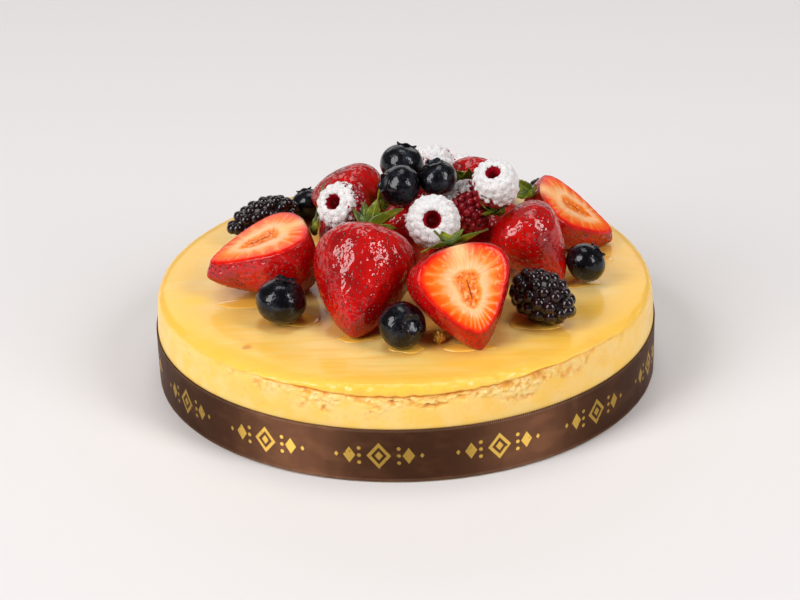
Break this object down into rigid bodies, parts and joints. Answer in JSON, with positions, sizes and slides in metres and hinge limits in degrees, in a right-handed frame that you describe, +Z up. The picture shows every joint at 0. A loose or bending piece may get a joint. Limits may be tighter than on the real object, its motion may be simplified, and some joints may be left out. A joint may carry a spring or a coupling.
{
  "type": "baked cheesecake",
  "caption": "Round baked cheesecake with a satin ribbon round its side and a heap of glazed strawberries and berries on top.",
  "frame": {"origin": "centre of the cake's flat underside", "axes": "+Z up through the middle of the cake, -Y towards the viewer, +X to the viewer's right"},
  "size_m": [0.23, 0.23, 0.1046],
  "materials": {
    "baked_cheesecake": "smooth baked skin under a thin clear glaze, crumbly at its torn edge",
    "satin_ribbon": "woven satin with a soft sheen",
    "glazed_strawberry": "wet clear glaze over pitted skin",
    "cut_strawberry": "wet cut flesh, pale round its core",
    "blueberry": "glazed skin with a little bloom",
    "raspberry": "soft drupelets, some dusted with white sugar",
    "dark_bramble": "shiny near black drupelets",
    "green_leaf": "satin leaf with fine veins"
  },
  "bodies": {
    "root": {"cheesecake": "baked_cheesecake", "ribbon": "satin_ribbon", "strawberry_core_left": "glazed_strawberry", "strawberry_core_front": "glazed_strawberry", "strawberry_core_right": "glazed_strawberry", "strawberry_core_back": "glazed_strawberry", "strawberry_front": "glazed_strawberry", "half_strawberry_front": "cut_strawberry", "half_strawberry_left": "cut_strawberry", "strawberry_right": "glazed_strawberry", "half_strawberry_right": "cut_strawberry", "strawberry_back_left": "glazed_strawberry", "strawberry_back_right": "glazed_strawberry", "half_strawberry_back": "cut_strawberry", "bramble_left": "dark_bramble", "bramble_right": "dark_bramble", "bramble_back": "dark_bramble", "raspberry_low": "raspberry", "blueberry_left": "blueberry", "blueberry_front": "blueberry", "blueberry_right": "blueberry", "blueberry_back_left": "blueberry", "blueberry_back": "blueberry", "blueberry_back_middle": "blueberry", "raspberry_middle": "raspberry", "raspberry_left": "raspberry", "raspberry_centre": "raspberry", "raspberry_right": "raspberry", "blueberry_crown": "blueberry", "blueberry_middle": "blueberry", "raspberry_back": "raspberry", "blueberry_top": "blueberry", "leaves_front": "green_leaf", "leaves_half_front": "green_leaf", "leaves_half_left": "green_leaf", "leaves_right": "green_leaf", "leaves_half_right": "green_leaf", "leaves_back_left": "green_leaf", "leaves_back_right": "green_leaf", "leaves_half_back": "green_leaf"}
  },
  "joints": []
}
